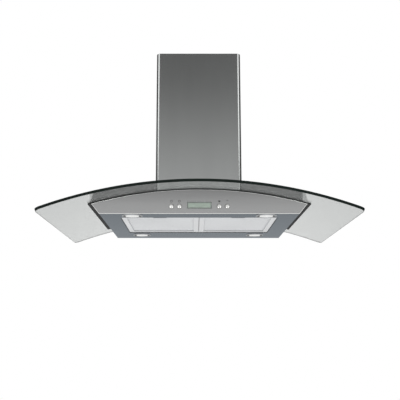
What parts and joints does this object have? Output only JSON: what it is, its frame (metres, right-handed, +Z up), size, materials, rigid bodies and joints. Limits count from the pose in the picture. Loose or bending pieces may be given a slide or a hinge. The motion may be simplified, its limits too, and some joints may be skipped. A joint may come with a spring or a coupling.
{
  "type": "curved glass range hood",
  "caption": "Wall-mounted cooker hood with an arched glass canopy, stainless body, push buttons, grease filters, lamps and a telescopic chimney.",
  "frame": {"origin": "centre of the four wall screws of the air box, on the wall plane", "axes": "+X to the right along the wall, +Y into the wall, +Z up"},
  "size_m": [0.9, 0.5, 0.6036],
  "materials": {
    "canopy_glass": "clear",
    "stainless": "brushed",
    "galvanised": "galvanised",
    "zinc": "zinc plated",
    "filter_aluminium": "satin",
    "chrome": "polished",
    "button_metal": "satin",
    "lamp_glass": "frosted",
    "bulb_glass": "clear",
    "ceramic_white": "ceramic",
    "rubber": "matte",
    "display_frame": "satin",
    "display_pane": "gloss",
    "dark_plastic": "moulded",
    "fan_plastic": "moulded",
    "latch_plastic": "moulded",
    "circuit_board": "solder mask",
    "motor_paint": "satin"
  },
  "bodies": {
    "root": {"glass_canopy": "canopy_glass", "canopy_seal": "rubber", "throat_gaskets": "rubber", "glass_bolts": "zinc", "panel_nuts": "zinc", "chimney_screws": "zinc", "filter_hinge_brackets": "zinc", "chimney_wall_bar": "galvanised", "air_box": "galvanised", "motor_bracket": "galvanised", "canopy_body": "stainless", "fascia": "stainless", "bottom_panel": "stainless", "lower_chimney": "stainless", "display_bezel": "display_frame", "display_window": "display_pane", "display_module": "dark_plastic", "tact_switches": "dark_plastic", "control_board": "circuit_board", "control_housing": "dark_plastic", "lamp_holders": "ceramic_white", "halogen_bulbs": "bulb_glass", "filter_divider": "filter_aluminium", "volute": "dark_plastic", "motor": "motor_paint", "capacitor": "fan_plastic", "terminal_box": "dark_plastic", "terminal_lid": "dark_plastic", "cable_gland": "dark_plastic", "outlet_collar": "fan_plastic", "damper_spindle": "zinc", "lamp_bezel_front_left": "chrome", "lamp_lens_front_left": "lamp_glass", "lamp_housing_front_left": "zinc", "lamp_bezel_front_right": "chrome", "lamp_lens_front_right": "lamp_glass", "lamp_housing_front_right": "zinc", "lamp_bezel_rear_left": "chrome", "lamp_lens_rear_left": "lamp_glass", "lamp_housing_rear_left": "zinc", "lamp_bezel_rear_right": "chrome", "lamp_lens_rear_right": "lamp_glass", "lamp_housing_rear_right": "zinc"},
    "upper_chimney": {"upper_chimney": "stainless", "ceiling_bracket": "galvanised"},
    "filter_left": {"filter_frame_left": "filter_aluminium", "filter_mesh_left": "filter_aluminium"},
    "filter_right": {"filter_frame_right": "filter_aluminium", "filter_mesh_right": "filter_aluminium"},
    "latch_left": {"filter_latch_left": "latch_plastic"},
    "latch_right": {"filter_latch_right": "latch_plastic"},
    "impeller": {"impeller": "fan_plastic", "motor_shaft": "zinc"},
    "flap_left": {"damper_flap_left": "fan_plastic"},
    "flap_right": {"damper_flap_right": "fan_plastic"},
    "button_power": {"button_power": "button_metal"},
    "button_lamp": {"button_lamp": "button_metal"},
    "button_minus": {"button_minus": "button_metal"},
    "button_plus": {"button_plus": "button_metal"}
  },
  "joints": [
    {"name": "chimney_slide", "type": "slide", "parent": "root", "child": "upper_chimney", "axis": [0, 0, 1], "range_m": [0, 0.35]},
    {"name": "filter_left_hinge", "type": "hinge", "parent": "root", "child": "filter_left", "pos_m": [-0.115, -0.139, -0.2165], "axis": [1, 0, 0], "range_deg": [0, 80]},
    {"name": "latch_left_slide", "type": "slide", "parent": "filter_left", "child": "latch_left", "axis": [0, 1, 0], "range_m": [0, 0.0035], "stiffness_N_per_m": 400},
    {"name": "filter_right_hinge", "type": "hinge", "parent": "root", "child": "filter_right", "pos_m": [0.115, -0.139, -0.2165], "axis": [1, 0, 0], "range_deg": [0, 80]},
    {"name": "latch_right_slide", "type": "slide", "parent": "filter_right", "child": "latch_right", "axis": [0, 1, 0], "range_m": [0, 0.0035], "stiffness_N_per_m": 400},
    {"name": "button_power_press", "type": "slide", "parent": "root", "child": "button_power", "axis": [0, 0.9609, 0.2768], "range_m": [0, 0.0012], "stiffness_N_per_m": 800},
    {"name": "button_lamp_press", "type": "slide", "parent": "root", "child": "button_lamp", "axis": [0, 0.9609, 0.2768], "range_m": [0, 0.0012], "stiffness_N_per_m": 800},
    {"name": "button_minus_press", "type": "slide", "parent": "root", "child": "button_minus", "axis": [0, 0.9609, 0.2768], "range_m": [0, 0.0012], "stiffness_N_per_m": 800},
    {"name": "button_plus_press", "type": "slide", "parent": "root", "child": "button_plus", "axis": [0, 0.9609, 0.2768], "range_m": [0, 0.0012], "stiffness_N_per_m": 800},
    {"name": "impeller_spin", "type": "hinge", "parent": "root", "child": "impeller", "pos_m": [-0.022, -0.098, -0.032], "axis": [0, 1, 0], "continuous": true},
    {"name": "flap_left_hinge", "type": "hinge", "parent": "root", "child": "flap_left", "pos_m": [0, -0.098, 0.1145], "axis": [0, 1, 0], "range_deg": [0, 80]},
    {"name": "flap_right_hinge", "type": "hinge", "parent": "root", "child": "flap_right", "pos_m": [0, -0.098, 0.1145], "axis": [0, -1, 0], "range_deg": [0, 80]}
  ]
}
